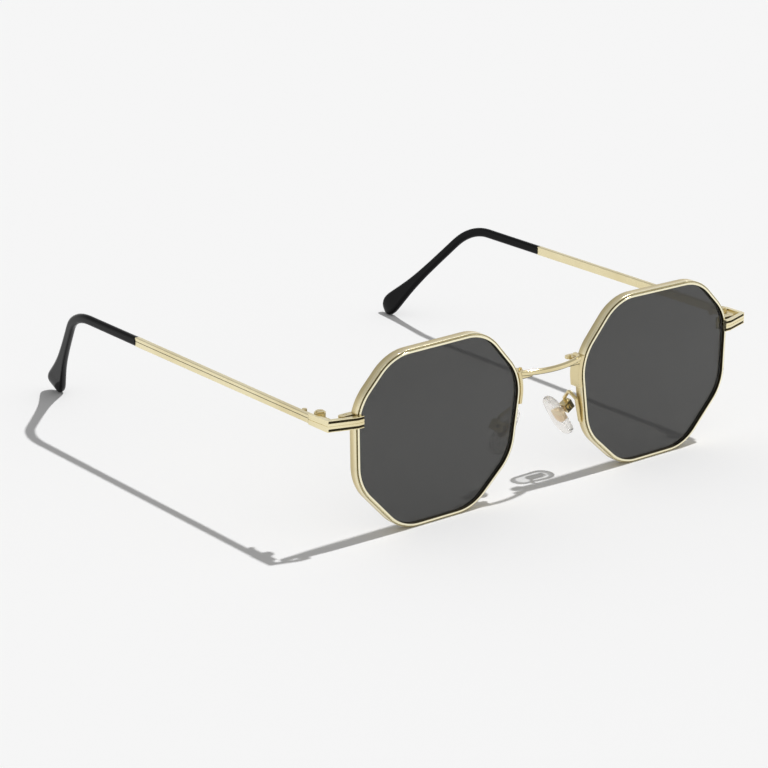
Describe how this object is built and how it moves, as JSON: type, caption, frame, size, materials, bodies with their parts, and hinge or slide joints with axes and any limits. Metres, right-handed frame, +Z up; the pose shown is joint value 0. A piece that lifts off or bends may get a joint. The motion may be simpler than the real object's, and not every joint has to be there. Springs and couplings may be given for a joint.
{
  "type": "octagonal eyeglasses",
  "caption": "Octagonal metal eyeglasses with dark tinted lenses, a slim bowed bridge, clear rocking nose pads and folding temples with dark curved tips.",
  "frame": {"origin": "centre of the bounding box in plan, at the surface that the lower sides of the rims and the two tips stand on", "axes": "+Z up, the front faces -Y, +X is the wearer's left, temples run back along +Y; X = 0 is the middle of the bridge"},
  "size_m": [0.1392, 0.1437, 0.0459],
  "materials": {
    "rim_metal": "pale gold plate, satin outside with a polished front lip",
    "bridge_metal": "pale gold plate, satin",
    "temple_metal": "pale gold plate, fine drawn satin",
    "hinge_metal": "pale gold plate, satin",
    "screw_metal": "pale gold plate, polished",
    "pad_metal": "pale gold plate, polished",
    "lens": "neutral grey tint, polished",
    "nose_pad": "clear silicone, satin",
    "temple_tip": "black acetate, polished"
  },
  "bodies": {
    "front": {"bridge": "bridge_metal", "bridge_lug_left": "rim_metal", "bridge_lug_right": "rim_metal", "closing_block_lower_left": "rim_metal", "closing_block_lower_right": "rim_metal", "closing_block_upper_left": "rim_metal", "closing_block_upper_right": "rim_metal", "closing_screw_left": "screw_metal", "closing_screw_right": "screw_metal", "endpiece_left": "bridge_metal", "endpiece_right": "bridge_metal", "hinge_front_left": "hinge_metal", "hinge_front_right": "hinge_metal", "hinge_screw_left": "screw_metal", "hinge_screw_right": "screw_metal", "lens_left": "lens", "lens_right": "lens", "pad_arm_left": "pad_metal", "pad_arm_right": "pad_metal", "pad_box_left": "pad_metal", "pad_box_right": "pad_metal", "pad_screw_left": "screw_metal", "pad_screw_right": "screw_metal", "rim_left": "rim_metal", "rim_right": "rim_metal"},
    "left_temple": {"temple_left": "temple_metal", "temple_tip_left": "temple_tip", "hinge_temple_left": "hinge_metal"},
    "right_temple": {"temple_right": "temple_metal", "temple_tip_right": "temple_tip", "hinge_temple_right": "hinge_metal"},
    "left_nose_pad": {"nose_pad_left": "nose_pad", "pad_insert_left": "pad_metal"},
    "right_nose_pad": {"nose_pad_right": "nose_pad", "pad_insert_right": "pad_metal"}
  },
  "joints": [
    {"name": "left_temple_fold", "type": "hinge", "parent": "front", "child": "left_temple", "pos_m": [0.06661, -0.06311, 0.0312], "axis": [0, 0, 1], "range_deg": [0, 88]},
    {"name": "right_temple_fold", "type": "hinge", "parent": "front", "child": "right_temple", "pos_m": [-0.06661, -0.06311, 0.0312], "axis": [0, 0, -1], "range_deg": [0, 76]},
    {"name": "left_pad_rock", "type": "hinge", "parent": "front", "child": "left_nose_pad", "pos_m": [0.01206, -0.06296, 0.01735], "axis": [0, -1, 0], "range_deg": [-10, 10]},
    {"name": "right_pad_rock", "type": "hinge", "parent": "front", "child": "right_nose_pad", "pos_m": [-0.01206, -0.06296, 0.01735], "axis": [0, 1, 0], "range_deg": [-10, 10]}
  ]
}
